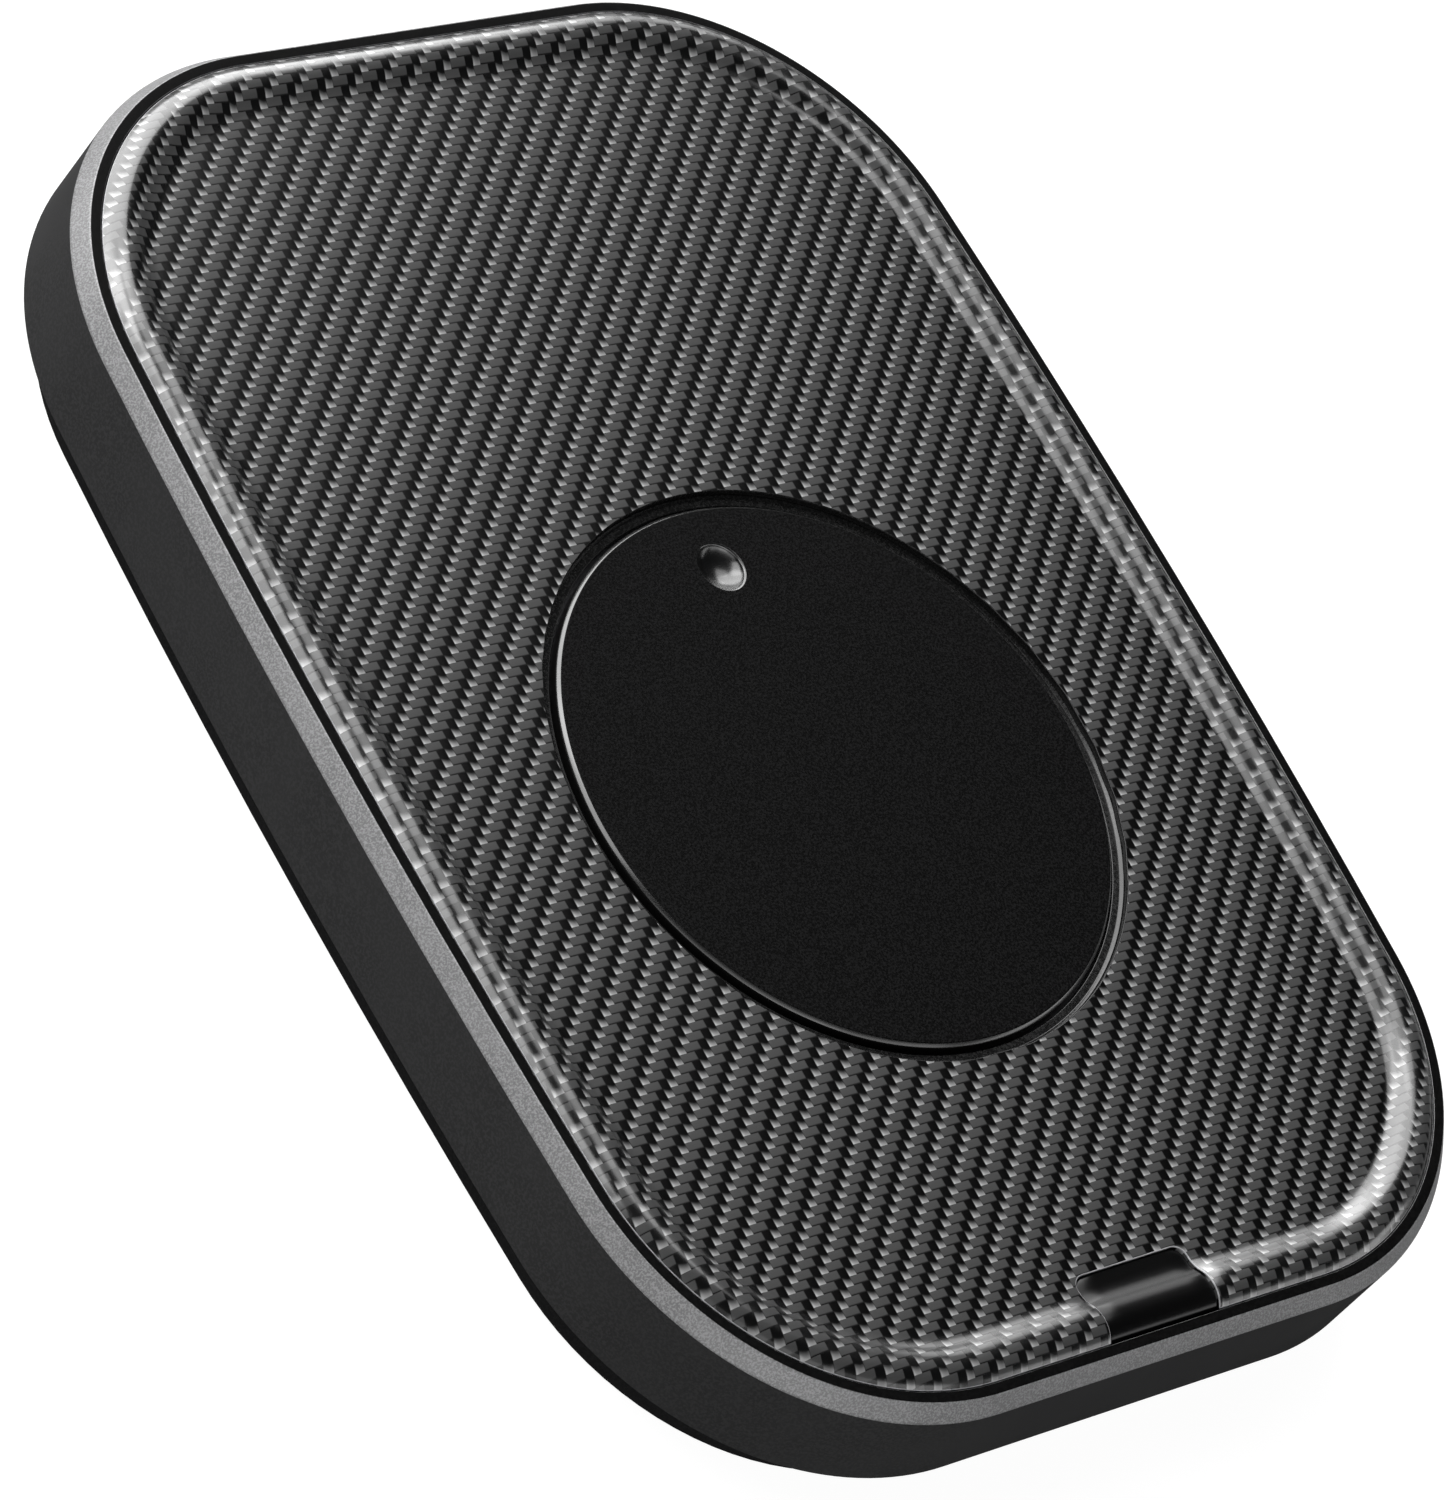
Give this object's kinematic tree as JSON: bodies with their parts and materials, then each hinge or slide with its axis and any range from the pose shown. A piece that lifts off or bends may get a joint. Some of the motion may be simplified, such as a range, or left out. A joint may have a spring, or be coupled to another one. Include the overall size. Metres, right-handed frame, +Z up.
{
  "type": "mouse jiggler",
  "caption": "Bevelled desk tray for a mouse: a raised bead round a woven-look floor, a geared turning disc that moves the sensor's view, and a push button.",
  "frame": {"origin": "centre of the footprint, on the surface the rubber feet stand on", "axes": "+Z up; +Y along the pad's length to the rear, where the charging socket is; -Y to the front, where the button is; +X to the right"},
  "size_m": [0.0938, 0.13, 0.0162],
  "materials": {
    "frame_plastic": "fine satin, dark charcoal",
    "tray_plastic": "printed 2x2 twill weave under a clear gloss coat",
    "inner_plastic": "moulded, satin",
    "cover_plastic": "fine spark texture",
    "rubber": "matt",
    "steel": "zinc plated",
    "disc_plastic": "fine satin",
    "gloss_black": "gloss",
    "bearing_plastic": "natural acetal",
    "gear_plastic": "natural acetal",
    "plate_steel": "pressed sheet",
    "motor_steel": "drawn, nickel plated",
    "brass": "machined",
    "board_green": "solder mask",
    "socket_steel": "drawn, nickel plated",
    "capacitor_sleeve": "heat-shrunk sleeve",
    "button_black": "gloss",
    "switch_black": "moulded"
  },
  "bodies": {
    "housing": {"side_frame": "frame_plastic", "tray_panel": "tray_plastic", "deck": "inner_plastic", "bottom_cover": "cover_plastic", "rubber_feet": "rubber", "housing_screws": "steel", "disc_bezel": "gloss_black", "output_bush": "bearing_plastic", "gear_pins": "steel", "gear_plate": "plate_steel", "plate_screws": "steel", "motor_can": "motor_steel", "motor_flange": "motor_steel", "motor_screws": "steel", "motor_terminals": "gloss_black", "main_board": "board_green", "board_screws": "steel", "socket_shell": "socket_steel", "socket_tongue": "gloss_black", "driver_chip": "gloss_black", "control_chip": "gloss_black", "capacitors": "capacitor_sleeve", "switch_body": "switch_black"},
    "turntable": {"turntable_disc": "disc_plastic", "output_gear": "gear_plastic", "output_shaft": "steel", "shaft_clip": "steel"},
    "second_gear_body": {"second_gear": "gear_plastic"},
    "first_gear_body": {"first_gear": "gear_plastic"},
    "motor_rotor": {"motor_shaft": "steel", "motor_pinion": "brass"},
    "power_button": {"button_cap": "button_black", "switch_plunger": "switch_black"}
  },
  "joints": [
    {"name": "disc_turn", "type": "hinge", "parent": "housing", "child": "turntable", "pos_m": [0, -0.0104, 0.0106], "axis": [0, 0, 1], "continuous": true},
    {"name": "second_gear_turn", "type": "hinge", "parent": "housing", "child": "second_gear_body", "pos_m": [0, 0.0046, 0.0106], "axis": [0, 0, 1], "continuous": true},
    {"name": "first_gear_turn", "type": "hinge", "parent": "housing", "child": "first_gear_body", "pos_m": [0, 0.0196, 0.0106], "axis": [0, 0, 1], "continuous": true},
    {"name": "motor_turn", "type": "hinge", "parent": "housing", "child": "motor_rotor", "pos_m": [0, 0.0316, 0.0106], "axis": [0, 0, 1], "continuous": true},
    {"name": "button_press", "type": "slide", "parent": "housing", "child": "power_button", "axis": [0, 0, -1], "range_m": [0, 0.0005], "stiffness_N_per_m": 3000}
  ],
  "couplings": [
    {"joint": "second_gear_turn", "follows": "disc_turn", "ratio": -4},
    {"joint": "first_gear_turn", "follows": "disc_turn", "ratio": 16},
    {"joint": "motor_turn", "follows": "disc_turn", "ratio": -48}
  ]
}
